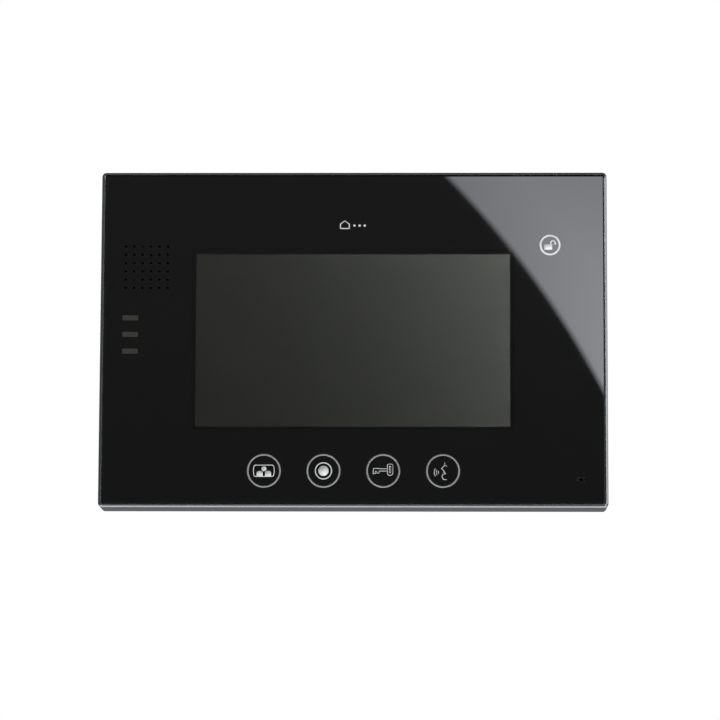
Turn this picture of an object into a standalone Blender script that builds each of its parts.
"""A wall-hung video intercom monitor with a 7-inch screen, modelled piece by piece.

Lengths below are in millimetres and become metres when a mesh is placed.
+X is right, +Z is up, and the front faces -Y. The origin is the middle of the
wall bracket's back face, so the wall is the plane y = 0 and every depth is negative.
"""

import math

import bmesh
import bpy
from mathutils import Matrix, Vector

MM = 0.001

# Outline of the front
WIDTH, HEIGHT = 248.6, 165.8
CORNER_RADIUS = 2.2
WALL = 1.8
LIP_X, LIP_Z = 1.35, 1.45
PANEL_GAP = 0.35
REST_GAP = 0.3

# Depths, front to back
PANEL_FRONT, PANEL_BACK = -25.0, -23.0
LIP_FRONT = -24.7
TAPE_FRONT, TAPE_BACK = -22.7, -22.2
DECK_FRONT, DECK_BACK = -21.9, -20.1
STRAP_FRONT, STRAP_BACK = -16.6, -15.6
BOARD_FRONT, BOARD_BACK = -13.0, -11.4
FRAME_BACK = -5.0
COVER_INNER, COVER_BACK = -3.0, -1.0
RECESS_INNER, RECESS_BACK = -3.7, -1.9
BRACKET_THICKNESS = 1.5

# Screen: the 154.08 x 85.92 active area of a 7-inch 16:9 panel in its 165 x 100 can
SCREEN_X, SCREEN_Z = -0.3, -0.2
CAN_WIDTH, CAN_HEIGHT = 165.0, 100.0
CAN_FRONT, CAN_BACK = -22.5, -18.5
CAN_WINDOW = (156.4, 88.2)

# Openings in the front panel
GRILLE_X, GRILLE_Z, GRILLE_PITCH, GRILLE_COUNT, GRILLE_RADIUS = -101.7, 35.6, 4.12, 6, 0.65
INDICATOR_X, INDICATOR_ZS = -109.45, (10.3, 2.1, -6.2)
INDICATOR_SIZE = (8.4, 2.7)
MIC_X, MIC_Z, MIC_SLOT_LENGTH, MIC_SLOT_HEIGHT = 111.1, -69.2, 4.9, 1.5

# Touch areas behind the panel
KEY_Z, KEY_BOARD_X, KEY_BOARD_SIZE = -65.1, 0.2, (112.0, 18.8)
UNLOCK_X, UNLOCK_Z, UNLOCK_BOARD_SIZE = 96.3, 46.6, (14.0, 14.0)

# Main board, its screws and the screen straps
MAIN_BOARD_X, MAIN_BOARD_SIZE = 5.0, (174.0, 118.0)
MAIN_BOARD_HOLES = [(x, z) for x in (-78.0, 88.0) for z in (-56.0, 56.0)]
STRAP_XS, STRAP_HOLE_Z, STRAP_WIDTH = (-55.0, 55.0), 56.0, 8.0

# Side controls: three thumbwheels whose rims show in slots in the right wall
WHEEL_X, WHEEL_ZS, WHEEL_RADIUS, WHEEL_FLUTES = 116.6, (22.0, 0.0, -22.0), 8.0, 30
WHEEL_FRONT, WHEEL_BACK = -17.6, -15.2
WHEEL_NAMES = ("volume", "brightness", "colour")
STUB_RADIUS, STUB_BORE = 1.5, 1.6
CONTROL_BOARD_X, CONTROL_BOARD_SIZE = 110.5, (21.0, 68.0)
CONTROL_PEGS = [(103.5, z) for z in (-29.0, 29.0)]

# Speaker
SPEAKER_RADIUS = 18.0
SPEAKER_FRONT = -18.7

# Rear cover
COVER_INSET = 4.8
COVER_RIM_FRONT, COVER_RIM_BACK = -7.6, -5.3
COVER_SCREWS = [(x, z) for x in (-100.0, 0.0, 100.0) for z in (-71.0, 71.0)]
WELL_RADIUS, WELL_FLOOR = 4.4, -7.0
RECESS_WIDTH, RECESS_BOTTOM, RECESS_TOP = 119.0, -62.0, 56.0
BAY_WIDTH, BAY_BOTTOM, BAY_TOP = 72.0, 12.0, 34.0
VENT_XS = [side * (30.0 + 8.0 * i) for side in (-1, 1) for i in range(7)]
VENT_ZS, VENT_WIDTH, VENT_HEIGHT = (-69.0, 67.0), 2.2, 10.0

# Wall bracket and the hooks that the monitor hangs on
BRACKET_WIDTH, BRACKET_HEIGHT = 110.0, 104.0
HOOK_X, HOOK_ZS, HOOK_WIDTH, HOOK_REACH, HOOK_RISE = 48.0, (20.0, -30.0), 8.0, 5.6, 8.0
SLOT_WIDTH, SLOT_HEIGHT = 10.0, 10.5

# Sockets in the cable bay
SOCKET_XS, SOCKET_Z, SOCKET_SIZE = (-25.0, -8.0, 9.0), 23.0, (13.0, 8.5)
SOCKET_BACK = -5.1
POWER_SOCKET_X, POWER_SOCKET_SIZE = 27.0, (11.0, 9.5)


# ---------------------------------------------------------------- scene and materials


def clear_scene():
    for item in list(bpy.data.objects):
        bpy.data.objects.remove(item, do_unlink=True)


def new_collection(name):
    collection = bpy.data.collections.new(name)
    bpy.context.scene.collection.children.link(collection)
    return collection


def new_material(name, colour, roughness, metallic=0.0):
    material = bpy.data.materials.new(name)
    material.use_nodes = True
    shader = material.node_tree.nodes["Principled BSDF"]
    shader.inputs["Base Color"].default_value = (*colour, 1.0)
    shader.inputs["Roughness"].default_value = roughness
    shader.inputs["Metallic"].default_value = metallic
    return material


clear_scene()
PARTS = new_collection("video_intercom_monitor")
CUTTERS = new_collection("cutters")

PANEL_BLACK = new_material("panel_black", (0.004, 0.004, 0.005), 0.05)
FRAME_SILVER = new_material("frame_silver", (0.33, 0.34, 0.35), 0.35, 0.8)
COVER_BLACK = new_material("cover_black", (0.02, 0.02, 0.021), 0.5)
SCREEN_GREY = new_material("screen_grey", (0.035, 0.037, 0.029), 0.3)
STEEL = new_material("steel", (0.6, 0.6, 0.6), 0.35, 1.0)
ZINC = new_material("zinc_plate", (0.5, 0.51, 0.52), 0.4, 1.0)
WHITE_PLASTIC = new_material("white_plastic", (0.75, 0.74, 0.7), 0.45)
SMOKED = new_material("smoked_plastic", (0.06, 0.055, 0.04), 0.25)
BOARD_GREEN = new_material("board_green", (0.02, 0.12, 0.05), 0.4)
CHIP_BLACK = new_material("chip_black", (0.015, 0.015, 0.015), 0.5)
FERRITE = new_material("ferrite", (0.05, 0.048, 0.045), 0.6)
ALUMINIUM = new_material("aluminium", (0.75, 0.76, 0.77), 0.3, 1.0)
RUBBER = new_material("rubber", (0.02, 0.02, 0.02), 0.8)
WHEEL_BLACK = new_material("wheel_black", (0.018, 0.018, 0.019), 0.6)
FOAM = new_material("foam", (0.03, 0.03, 0.03), 0.95)
MYLAR = new_material("mylar", (0.03, 0.03, 0.032), 0.4)
RIBBON_WHITE = new_material("ribbon_white", (0.8, 0.8, 0.78), 0.4)
LEAD_RED = new_material("lead_red", (0.45, 0.02, 0.02), 0.5)
LABEL_SILVER = new_material("label_silver", (0.6, 0.6, 0.6), 0.4, 0.5)


# ---------------------------------------------------------------- shape helpers


def place(name, bm, centre, material):
    """Turns a bmesh in millimetres around its own middle into a part at centre."""
    bmesh.ops.scale(bm, vec=(MM, MM, MM), verts=bm.verts)
    bmesh.ops.recalc_face_normals(bm, faces=bm.faces)
    mesh = bpy.data.meshes.new(name)
    bm.to_mesh(mesh)
    bm.free()
    mesh.shade_smooth()
    mesh.set_sharp_from_angle(angle=math.radians(35))
    item = bpy.data.objects.new(name, mesh)
    item.location = Vector(centre) * MM
    if material is None:
        CUTTERS.objects.link(item)
        item.hide_render = True
        item.display_type = "WIRE"
    else:
        PARTS.objects.link(item)
        mesh.materials.append(material)
    return item


def add_block(bm, size, centre=(0, 0, 0), radius=0.0, segments=3):
    """A box whose four edges along Y are rounded."""
    transform = Matrix.Translation(centre) @ Matrix.Diagonal((*size, 1.0))
    made = bmesh.ops.create_cube(bm, size=1.0, matrix=transform)
    if radius:
        edges = {edge for vert in made["verts"] for edge in vert.link_edges}
        along_y = [e for e in edges if abs((e.verts[0].co - e.verts[1].co).y) > size[1] / 2]
        bmesh.ops.bevel(
            bm, geom=along_y, offset=radius, segments=segments, profile=0.5, affect="EDGES"
        )


def add_cylinder(bm, radius, length, centre=(0, 0, 0), segments=24):
    """A cylinder along Y."""
    transform = Matrix.Translation(centre) @ Matrix.Rotation(math.radians(90), 4, "X")
    bmesh.ops.create_cone(
        bm, cap_ends=True, segments=segments, radius1=radius, radius2=radius,
        depth=length, matrix=transform,
    )


def span(front, back):
    """Depth and middle of a stretch along Y."""
    return back - front, (front + back) / 2


def block(name, width, height, front, back, x=0.0, z=0.0, material=None, radius=0.0):
    depth, middle = span(front, back)
    bm = bmesh.new()
    add_block(bm, (width, depth, height), radius=radius)
    return place(name, bm, (x, middle, z), material)


def blocks(name, width, height, front, back, places, radius=0.0):
    """Equal blocks in one cutter or add-on."""
    depth, middle = span(front, back)
    bm = bmesh.new()
    for x, z in places:
        add_block(bm, (width, depth, height), (x, middle, z), radius)
    return place(name, bm, (0, 0, 0), None)


def cylinders(name, radius, front, back, places, segments=24):
    """Equal cylinders along Y in one cutter or add-on."""
    depth, middle = span(front, back)
    bm = bmesh.new()
    for x, z in places:
        add_cylinder(bm, radius, depth, (x, middle, z), segments)
    return place(name, bm, (0, 0, 0), None)


def boolean(target, other, operation):
    modifier = target.modifiers.new(other.name, "BOOLEAN")
    modifier.object = other
    modifier.operation = operation
    modifier.solver = "EXACT"


def cut(target, *others):
    for other in others:
        boolean(target, other, "DIFFERENCE")


def join(target, *others):
    for other in others:
        boolean(target, other, "UNION")


def turned(name, profile, x, z, material, steps=32, closed=False):
    """A part turned about an axis along Y. The profile is (radius, depth) and runs
    from the front, down the outer side, to the back; a closed one makes a ring."""
    mesh = bpy.data.meshes.new(name)
    points = [(radius * MM, 0.0, -depth * MM) for radius, depth in profile]
    edges = [(i, i + 1) for i in range(len(points) - 1)]
    if closed:
        edges.append((len(points) - 1, 0))
    mesh.from_pydata(points, edges, [])
    item = bpy.data.objects.new(name, mesh)
    item.location = (x * MM, 0.0, z * MM)
    item.rotation_euler = (math.radians(90), 0.0, 0.0)
    PARTS.objects.link(item)
    mesh.materials.append(material)
    screw = item.modifiers.new("turn", "SCREW")
    screw.axis = "Z"
    screw.steps = screw.render_steps = steps
    screw.use_merge_vertices = True
    screw.merge_threshold = 0.00001
    screw.use_smooth_shade = True
    return item


def smooth_route(points, step_count):
    """Points on a Catmull-Rom curve through the given ones."""
    ends = [points[0]] + list(points) + [points[-1]]
    route = []
    for a, b, c, d in zip(ends, ends[1:], ends[2:], ends[3:]):
        a, b, c, d = map(Vector, (a, b, c, d))
        for i in range(step_count):
            t = i / step_count
            route.append(
                0.5 * (2 * b + (c - a) * t + (2 * a - 5 * b + 4 * c - d) * t**2
                       + (3 * b - a - 3 * c + d) * t**3)
            )
    route.append(Vector(points[-1]))
    return route


def ribbon(name, route, width, x, material):
    """A flat cable in the plane x, whose route is a list of (depth, height)."""
    points = smooth_route([(0.0, depth, height) for depth, height in route], 4)
    mesh = bpy.data.meshes.new(name)
    bm = bmesh.new()
    rows = [
        [bm.verts.new(((point.x + side * width / 2) * MM, point.y * MM, point.z * MM))
         for side in (-1, 1)]
        for point in points
    ]
    for (a, b), (c, d) in zip(rows, rows[1:]):
        bm.faces.new((a, b, d, c))
    bm.to_mesh(mesh)
    bm.free()
    item = bpy.data.objects.new(name, mesh)
    item.location = (x * MM, 0.0, 0.0)
    PARTS.objects.link(item)
    mesh.materials.append(material)
    solidify = item.modifiers.new("thickness", "SOLIDIFY")
    solidify.thickness = 0.3 * MM
    solidify.offset = 0.0
    return item


def lead(name, route, diameter, material):
    """A thin insulated pair along a smooth route."""
    curve = bpy.data.curves.new(name, "CURVE")
    curve.dimensions = "3D"
    curve.bevel_depth = diameter / 2 * MM
    curve.bevel_resolution = 1
    curve.use_fill_caps = True
    points = smooth_route(route, 4)
    spline = curve.splines.new("POLY")
    spline.points.add(len(points) - 1)
    for target, point in zip(spline.points, points):
        target.co = (*(point * MM), 1.0)
    item = bpy.data.objects.new(name, curve)
    PARTS.objects.link(item)
    curve.materials.append(material)
    return item


# ---------------------------------------------------------------- front


def front_panel():
    """The acrylic sheet that makes the whole face, with the speaker and microphone openings."""
    width = WIDTH - 2 * (LIP_X + PANEL_GAP)
    height = HEIGHT - 2 * (LIP_Z + PANEL_GAP)
    panel = block("front_panel", width, height, PANEL_FRONT, PANEL_BACK,
                  material=PANEL_BLACK, radius=0.8)
    offsets = [(i - (GRILLE_COUNT - 1) / 2) * GRILLE_PITCH for i in range(GRILLE_COUNT)]
    grille = [(GRILLE_X + dx, GRILLE_Z + dz) for dx in offsets for dz in offsets]
    cut(panel,
        cylinders("grille_holes", GRILLE_RADIUS, PANEL_FRONT - 1, PANEL_BACK + 1, grille, 8),
        block("microphone_slot", MIC_SLOT_LENGTH, MIC_SLOT_HEIGHT, PANEL_FRONT - 1,
              PANEL_BACK + 1, MIC_X, MIC_Z, radius=MIC_SLOT_HEIGHT / 2 - 0.01))


def panel_tape():
    """The adhesive ring that holds the panel on the frame's deck."""
    tape = block("panel_tape", 242.0, 159.0, TAPE_FRONT, TAPE_BACK, material=FOAM, radius=1.0)
    cut(tape, block("tape_opening", 233.0, 151.0, TAPE_FRONT - 1, TAPE_BACK + 1, radius=1.0))


def frame_bosses():
    """Posts on the back of the deck, as one add-on per height."""
    root = DECK_BACK - 0.4
    return (
        cylinders("cover_posts", 3.4, root, WELL_FLOOR - 1.8, COVER_SCREWS, 16),
        cylinders("board_posts", 2.8, root, BOARD_FRONT - REST_GAP, MAIN_BOARD_HOLES, 12),
        cylinders("strap_posts", 2.6, root, STRAP_FRONT - REST_GAP, strap_holes(), 12),
        cylinders("control_posts", 2.4, root, BOARD_FRONT - REST_GAP, CONTROL_PEGS, 12),
        cylinders("control_pegs", 1.2, root, BOARD_BACK + 0.8, CONTROL_PEGS, 12),
        cylinders("indicator_posts", 2.0, root, -18.2, indicator_pegs(), 12),
        cylinders("indicator_pegs", 1.0, root, -16.2, indicator_pegs(), 12),
    )


def frame_pilots():
    return (
        cylinders("cover_pilots", 1.3, -18.5, -8.0, COVER_SCREWS, 16),
        cylinders("board_pilots", 1.2, -18.5, -12.0, MAIN_BOARD_HOLES, 12),
        cylinders("strap_pilots", 1.2, -20.0, -16.0, strap_holes(), 12),
    )


def strap_holes():
    return [(x, z) for x in STRAP_XS for z in (-STRAP_HOLE_Z, STRAP_HOLE_Z)]


def indicator_pegs():
    return [(INDICATOR_X, z) for z in (6.2, -13.4)]


def front_frame():
    """The silver moulding: a thin lip round the panel, deep side walls and a deck behind it."""
    frame = block("front_frame", WIDTH, HEIGHT, LIP_FRONT, FRAME_BACK,
                  material=FRAME_SILVER, radius=CORNER_RADIUS)
    cut(frame,
        block("panel_pocket", WIDTH - 2 * LIP_X, HEIGHT - 2 * LIP_Z, LIP_FRONT - 1,
              DECK_FRONT, radius=1.0),
        block("frame_cavity", WIDTH - 2 * WALL, HEIGHT - 2 * WALL, DECK_BACK,
              FRAME_BACK + 1, radius=1.0))
    join(frame, *frame_bosses(), speaker_collar())
    cut(frame, *frame_pilots(),
        block("screen_opening", CAN_WIDTH + 1.0, CAN_HEIGHT + 1.0, DECK_FRONT - 1,
              DECK_BACK + 5, SCREEN_X, SCREEN_Z),
        cylinders("speaker_opening", 15.2, DECK_FRONT - 1, DECK_BACK + 1,
                  [(GRILLE_X, GRILLE_Z)], 28),
        blocks("indicator_openings", INDICATOR_SIZE[0] + 0.8, INDICATOR_SIZE[1] + 0.8,
               DECK_FRONT - 1, DECK_BACK + 1, [(INDICATOR_X, z) for z in INDICATOR_ZS]),
        cylinders("microphone_opening", 4.6, DECK_FRONT - 1, DECK_BACK + 1,
                  [(MIC_X, MIC_Z)], 16),
        block("touch_cable_slot", 12.0, 3.0, DECK_FRONT - 1, DECK_BACK + 1, 40.0, -66.0),
        block("unlock_cable_slot", 8.0, 3.0, DECK_FRONT - 1, DECK_BACK + 1,
              UNLOCK_X, UNLOCK_Z - 3.0),
        wheel_slots(), wheel_scoops())


def speaker_collar():
    """A ring on the deck that locates the speaker."""
    depth, middle = span(DECK_BACK - 0.4, -16.5)
    bm = bmesh.new()
    add_cylinder(bm, 19.7, depth, segments=28)
    collar = place("speaker_collar", bm, (GRILLE_X, middle, GRILLE_Z), None)
    cut(collar, cylinders("collar_bore", 18.4, -22.0, -15.0, [(GRILLE_X, GRILLE_Z)], 28))
    return collar


def wheel_slots():
    """Openings in the right wall for the rims of the thumbwheels."""
    bm = bmesh.new()
    depth, middle = span(WHEEL_FRONT - 0.4, WHEEL_BACK + 0.4)
    for z in WHEEL_ZS:
        add_block(bm, (6.0, depth, 12.6), (WIDTH / 2, middle, z))
    return place("wheel_slots", bm, (0, 0, 0), None)


def wheel_scoops():
    """Shallow finger hollows round the slots."""
    bm = bmesh.new()
    middle = (WHEEL_FRONT + WHEEL_BACK) / 2
    for z in WHEEL_ZS:
        add_block(bm, (1.6, 7.0, 17.0), (WIDTH / 2, middle, z))
    return place("wheel_scoops", bm, (0, 0, 0), None)


# ---------------------------------------------------------------- screen


def screen_module():
    """The steel can, the glass with its polariser and the backlight of the 7-inch screen."""
    bezel = block("lcd_bezel", CAN_WIDTH, CAN_HEIGHT, CAN_FRONT, CAN_BACK,
                  SCREEN_X, SCREEN_Z, STEEL, radius=1.0)
    cut(bezel,
        block("lcd_can_inside", CAN_WIDTH - 1.2, CAN_HEIGHT - 1.2, CAN_FRONT + 0.5,
              CAN_BACK + 1, SCREEN_X, SCREEN_Z),
        block("lcd_can_window", *CAN_WINDOW, CAN_FRONT - 1, CAN_FRONT + 1, SCREEN_X, SCREEN_Z))
    block("lcd_panel", 161.6, 96.4, CAN_FRONT + 0.8, -20.2, SCREEN_X, SCREEN_Z, SCREEN_GREY)
    block("lcd_backlight", 163.0, 98.0, -19.9, -16.9, SCREEN_X, SCREEN_Z, WHITE_PLASTIC)


def screen_straps():
    """Two steel straps that press the screen into the deck."""
    for side, x in zip(("left", "right"), STRAP_XS):
        strap = block(f"lcd_strap_{side}", STRAP_WIDTH, 2 * STRAP_HOLE_Z + 7.0,
                      STRAP_FRONT, STRAP_BACK, x, 0.0, STEEL, radius=1.5)
        holes = [(x, -STRAP_HOLE_Z), (x, STRAP_HOLE_Z)]
        cut(strap, cylinders(f"strap_holes_{side}", 1.5, STRAP_FRONT - 1, STRAP_BACK + 1,
                             holes, 16))
    for i, (x, z) in enumerate(strap_holes(), 1):
        screw(f"strap_screw_{i}", 2.2, STRAP_BACK + REST_GAP, 1.2, 0.9, -19.4, x, z)


def screw(name, head_radius, seat, head_height, shank_radius, tip, x, z):
    """A pan-head screw driven from the back: the head lies behind its seat."""
    profile = [
        (0.0, tip), (shank_radius, tip + shank_radius), (shank_radius, seat),
        (head_radius, seat), (head_radius, seat + head_height * 0.55),
        (head_radius * 0.72, seat + head_height), (0.0, seat + head_height),
    ]
    return turned(name, profile, x, z, STEEL, steps=12)


# ---------------------------------------------------------------- touch and indicators


def touch_boards():
    """Thin boards stuck behind the panel, under the key symbols."""
    block("touch_board", *KEY_BOARD_SIZE, TAPE_FRONT, TAPE_BACK, KEY_BOARD_X, KEY_Z,
          BOARD_GREEN, radius=1.5)
    block("unlock_touch_board", *UNLOCK_BOARD_SIZE, TAPE_FRONT, TAPE_BACK, UNLOCK_X, UNLOCK_Z,
          BOARD_GREEN, radius=1.5)


def indicators():
    """Three smoked lenses in the deck, and the small board whose lamps light them."""
    for i, z in enumerate(INDICATOR_ZS, 1):
        block(f"indicator_lens_{i}", *INDICATOR_SIZE, -22.6, -19.4, INDICATOR_X, z, SMOKED)
    board = block("indicator_board", 10.0, 31.0, -17.9, -16.9, INDICATOR_X, -0.6, BOARD_GREEN,
                  radius=1.0)
    join(board, blocks("lamps", 3.2, 1.4, -18.9, -17.5, [(INDICATOR_X, z) for z in INDICATOR_ZS]))
    cut(board, cylinders("indicator_holes", 1.3, -19.0, -16.0, indicator_pegs(), 16))


# ---------------------------------------------------------------- sound


def microphone():
    boot = [(4.3, -22.6), (4.3, -17.0), (3.1, -17.0), (3.1, -21.8), (1.1, -21.8), (1.1, -22.6)]
    turned("microphone_boot", boot, MIC_X, MIC_Z, RUBBER, steps=16, closed=True)
    capsule = [(0.0, -21.4), (2.75, -21.4), (2.75, -17.6), (0.0, -17.6)]
    turned("microphone_capsule", capsule, MIC_X, MIC_Z, ALUMINIUM, steps=16)


def speaker():
    """Gasket, basket, magnet and the cone with its voice coil, which moves along Y."""
    front = SPEAKER_FRONT
    gasket = [(17.8, -19.8), (17.8, -19.0), (15.5, -19.0), (15.5, -19.8)]
    turned("speaker_gasket", gasket, GRILLE_X, GRILLE_Z, FOAM, steps=24, closed=True)
    basket = [
        (SPEAKER_RADIUS, front), (SPEAKER_RADIUS, front + 0.9), (16.8, front + 0.9),
        (15.6, -14.9), (9.6, -13.2), (5.8, -13.2),
        (5.8, -14.0), (9.2, -14.0), (14.7, -15.6), (16.0, -17.9), (16.4, front),
    ]
    turned("speaker_basket", basket, GRILLE_X, GRILLE_Z, STEEL, steps=28, closed=True)
    magnet = [
        (0.0, -14.6), (3.5, -14.6), (3.5, -10.3), (5.5, -10.3), (5.5, -12.9), (9.5, -12.9),
        (9.5, -8.9), (0.0, -8.9),
    ]
    turned("speaker_magnet", magnet, GRILLE_X, GRILLE_Z, FERRITE, steps=20)
    cone = [
        (0.0, -17.6), (3.0, -17.2), (4.9, -16.4), (10.0, -17.1), (13.4, -18.1), (14.4, -18.6),
        (15.5, -18.2), (15.5, -17.7), (14.4, -18.1), (13.4, -17.6), (10.0, -16.6),
        (4.9, -15.9), (4.9, -11.4), (4.1, -11.4), (4.1, -16.1), (2.8, -16.7), (0.0, -17.0),
    ]
    turned("speaker_cone", cone, GRILLE_X, GRILLE_Z, MYLAR, steps=28)


# ---------------------------------------------------------------- main board


def main_board():
    board = block("main_board", *MAIN_BOARD_SIZE, BOARD_FRONT, BOARD_BACK, MAIN_BOARD_X, 0.0,
                  BOARD_GREEN, radius=1.5)
    cut(board, cylinders("board_holes", 1.6, BOARD_FRONT - 1, BOARD_BACK + 1,
                         MAIN_BOARD_HOLES, 16))
    seat = BOARD_BACK + REST_GAP
    for i, (x, z) in enumerate(MAIN_BOARD_HOLES, 1):
        screw(f"board_screw_{i}", 2.5, seat, 1.6, 0.95, -17.6, x, z)
    block("processor_chip", 15.0, 15.0, seat, seat + 1.5, -20.0, -12.0, CHIP_BLACK)
    block("video_chip", 11.0, 11.0, seat, seat + 1.2, 22.0, -22.0, CHIP_BLACK)
    block("memory_chip", 12.0, 8.0, seat, seat + 1.2, -42.0, -8.0, CHIP_BLACK)
    block("power_inductor", 10.0, 10.0, seat, seat + 4.4, 66.0, 36.0, FERRITE, radius=2.5)
    can = [(0.0, seat), (4.0, seat), (4.0, seat + 5.8), (3.6, seat + 6.2), (0.0, seat + 6.2)]
    for i, (x, z) in enumerate(((70.0, 20.0), (70.0, 8.0), (80.0, 14.0)), 1):
        turned(f"capacitor_{i}", can, x, z, ALUMINIUM, steps=16)


def sockets():
    """Plug-in sockets for the door stations and the supply, reached from the back."""
    seat = BOARD_BACK + REST_GAP
    for i, x in enumerate(SOCKET_XS, 1):
        shell = block(f"line_socket_{i}", *SOCKET_SIZE, seat, SOCKET_BACK, x, SOCKET_Z,
                      WHITE_PLASTIC)
        cut(shell, block(f"line_socket_mouth_{i}", SOCKET_SIZE[0] - 2.0, SOCKET_SIZE[1] - 2.0,
                         seat + 1.2, SOCKET_BACK + 1, x, SOCKET_Z))
    shell = block("power_socket", *POWER_SOCKET_SIZE, seat, SOCKET_BACK, POWER_SOCKET_X,
                  SOCKET_Z, CHIP_BLACK)
    cut(shell, block("power_socket_mouth", POWER_SOCKET_SIZE[0] - 2.4,
                     POWER_SOCKET_SIZE[1] - 2.4, seat + 1.2, SOCKET_BACK + 1,
                     POWER_SOCKET_X, SOCKET_Z))


def cables():
    ribbon("lcd_cable", [(-16.3, -44.0), (-16.3, -54.0), (-15.4, -60.0), (-12.8, -62.6),
                         (-10.5, -61.0), (-9.9, -56.0), (-9.9, -47.0)],
           26.0, 10.0, RIBBON_WHITE)
    ribbon("touch_cable", [(-21.6, -66.0), (-16.0, -66.0), (-12.0, -65.6), (-10.4, -63.0),
                           (-9.9, -58.0), (-9.9, -50.0)],
           9.0, 40.0, RIBBON_WHITE)
    lead("speaker_lead", [(-95.0, -11.6, 21.5), (-89.0, -10.4, 17.0), (-84.0, -8.6, 13.0),
                          (-78.0, -8.8, 9.0), (-74.0, -10.1, 6.0)], 1.6, LEAD_RED)
    lead("microphone_lead", [(111.1, -16.2, -69.2), (109.0, -12.5, -66.0),
                             (102.0, -9.2, -60.0), (94.0, -8.4, -54.0),
                             (86.0, -9.0, -49.0), (82.0, -10.1, -46.0)], 1.6, LEAD_RED)


# ---------------------------------------------------------------- side controls


def control_board():
    board = block("control_board", *CONTROL_BOARD_SIZE, BOARD_FRONT, BOARD_BACK,
                  CONTROL_BOARD_X, 0.0, BOARD_GREEN, radius=1.0)
    cut(board, cylinders("control_holes", 1.5, BOARD_FRONT - 1, BOARD_BACK + 1,
                         CONTROL_PEGS, 16))


def thumbwheel(name, z):
    """A fluted wheel with a stub that turns in its potentiometer, origin on the axis."""
    depth, middle = span(WHEEL_FRONT, WHEEL_BACK)
    axis_y = WHEEL_BACK
    bm = bmesh.new()
    add_cylinder(bm, WHEEL_RADIUS, depth, (0, middle - axis_y, 0), 2 * WHEEL_FLUTES)
    rim = sorted(bm.verts, key=lambda v: math.atan2(v.co.z, v.co.x))
    for vert in rim[::4] + rim[1::4]:
        vert.co.x *= 0.955
        vert.co.z *= 0.955
    wheel = place(f"{name}_wheel", bm, (WHEEL_X, axis_y, z), WHEEL_BLACK)
    stub = cylinders(f"{name}_stub", STUB_RADIUS, WHEEL_BACK - 0.5, BOARD_FRONT - 0.5,
                     [(WHEEL_X, z)], 24)
    join(wheel, stub)


def potentiometer(name, z):
    """The fixed half of a control: a square body whose bore takes the wheel's stub."""
    body = block(f"{name}_potentiometer", 9.0, 9.0, WHEEL_BACK + REST_GAP,
                 BOARD_FRONT - REST_GAP, WHEEL_X, z, CHIP_BLACK, radius=0.6)
    cut(body, cylinders(f"{name}_bore", STUB_BORE, WHEEL_BACK - 1, BOARD_FRONT + 1,
                        [(WHEEL_X, z)], 24))


def side_controls():
    control_board()
    for name, z in zip(WHEEL_NAMES, WHEEL_ZS):
        potentiometer(name, z)
        thumbwheel(name, z)


# ---------------------------------------------------------------- back


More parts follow.
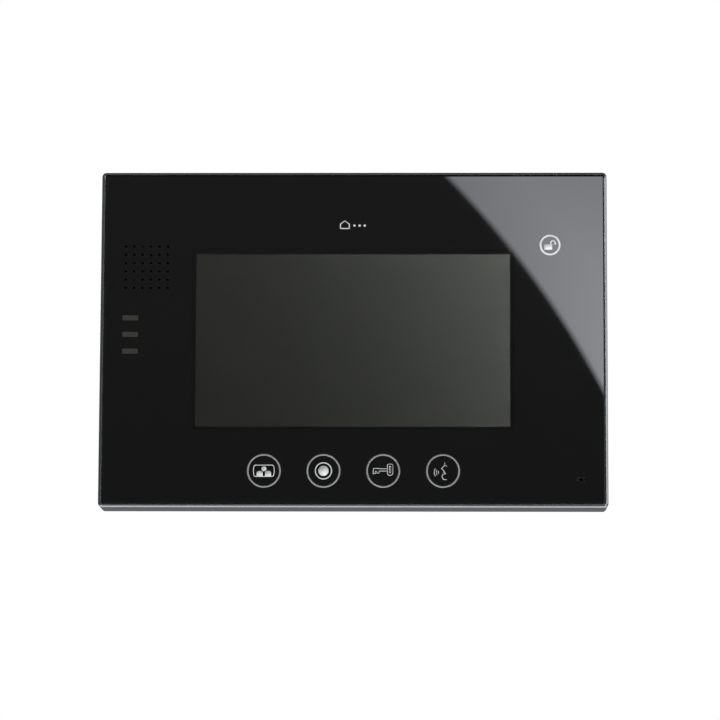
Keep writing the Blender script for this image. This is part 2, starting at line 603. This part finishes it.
def rear_cover():
    """The black back shell, with screw wells, vents, the cable bay and four hook slots."""
    width, height = WIDTH - 2 * COVER_INSET, HEIGHT - 2 * COVER_INSET
    cover = block("rear_cover", width, height, COVER_RIM_FRONT, COVER_BACK,
                  material=COVER_BLACK, radius=4.0)
    recess_middle = (RECESS_BOTTOM + RECESS_TOP) / 2
    recess_height = RECESS_TOP - RECESS_BOTTOM
    join(cover, block("cover_rim", WIDTH - 2 * (WALL + REST_GAP),
                      HEIGHT - 2 * (WALL + REST_GAP), COVER_RIM_FRONT, COVER_RIM_BACK,
                      radius=1.0))
    cut(cover, block("cover_cavity", width - 2 * WALL, height - 2 * WALL,
                     COVER_RIM_FRONT - 1, COVER_INNER, radius=2.5))
    join(cover,
         cylinders("cover_wells", WELL_RADIUS, WELL_FLOOR - 1.5, COVER_INNER + 0.4,
                   COVER_SCREWS, 16),
         block("recess_floor", RECESS_WIDTH + 3.6, recess_height + 3.6, RECESS_INNER,
               COVER_INNER + 0.4, 0.0, recess_middle))
    hooks = [(side * HOOK_X, z) for z in HOOK_ZS for side in (-1, 1)]
    slot_top = BRACKET_THICKNESS + REST_GAP
    slots = [(x, z + slot_top - SLOT_HEIGHT / 2) for x, z in hooks]
    cut(cover,
        block("bracket_recess", RECESS_WIDTH, recess_height, RECESS_BACK, COVER_BACK + 1,
              0.0, recess_middle, radius=3.0),
        block("cable_bay", BAY_WIDTH, BAY_TOP - BAY_BOTTOM, RECESS_INNER - 1, COVER_BACK + 1,
              0.0, (BAY_TOP + BAY_BOTTOM) / 2, radius=2.0),
        blocks("hook_slots", SLOT_WIDTH, SLOT_HEIGHT, RECESS_INNER - 1, COVER_BACK + 1, slots,
               radius=0.8),
        cylinders("well_bores", 3.2, WELL_FLOOR, COVER_BACK + 1, COVER_SCREWS, 16),
        cylinders("cover_holes", 1.7, WELL_FLOOR - 3, WELL_FLOOR + 1, COVER_SCREWS, 16),
        blocks("vents", VENT_WIDTH, VENT_HEIGHT, COVER_INNER - 1, COVER_BACK + 1,
               [(x, z) for x in VENT_XS for z in VENT_ZS]))
    for i, (x, z) in enumerate(COVER_SCREWS, 1):
        screw(f"cover_screw_{i}", 2.8, WELL_FLOOR + REST_GAP, 1.9, 1.1, -17.0, x, z)
    block("rating_plate", 44.0, 26.0, COVER_BACK + REST_GAP, -0.3, 88.0, -30.0, LABEL_SILVER,
          radius=1.0)


def wall_bracket():
    """A pressed steel plate for the wall, with four hooks that point up."""
    plate = block("wall_bracket", BRACKET_WIDTH, BRACKET_HEIGHT, -BRACKET_THICKNESS, 0.0,
                  material=ZINC, radius=3.0)
    hooks = [(side * HOOK_X, z) for z in HOOK_ZS for side in (-1, 1)]
    necks = [(x, z + BRACKET_THICKNESS / 2) for x, z in hooks]
    tongues = [(x, z + HOOK_RISE / 2) for x, z in hooks]
    join(plate,
         blocks("hook_necks", HOOK_WIDTH, BRACKET_THICKNESS, -HOOK_REACH + 0.2, -0.8, necks),
         blocks("hook_tongues", HOOK_WIDTH, HOOK_RISE, -HOOK_REACH,
                -HOOK_REACH + BRACKET_THICKNESS, tongues))
    holes = [(x, z) for x in (-48.0, 48.0) for z in (-45.0, 45.0)]
    cut(plate,
        block("upper_window", 82.0, 28.5, -3.0, 1.0, 0.0, 23.75, radius=3.0),
        block("lower_window", 60.0, 28.5, -3.0, 1.0, 0.0, -23.75, radius=3.0),
        cylinders("wall_holes", 2.3, -3.0, 1.0, holes, 16),
        blocks("wall_slots", 9.0, 4.5, -3.0, 1.0, [(0.0, -45.0), (0.0, 45.0)], radius=2.2))


front_panel()
panel_tape()
front_frame()
screen_module()
screen_straps()
touch_boards()
indicators()
microphone()
speaker()
main_board()
sockets()
cables()
side_controls()
rear_cover()
wall_bracket()
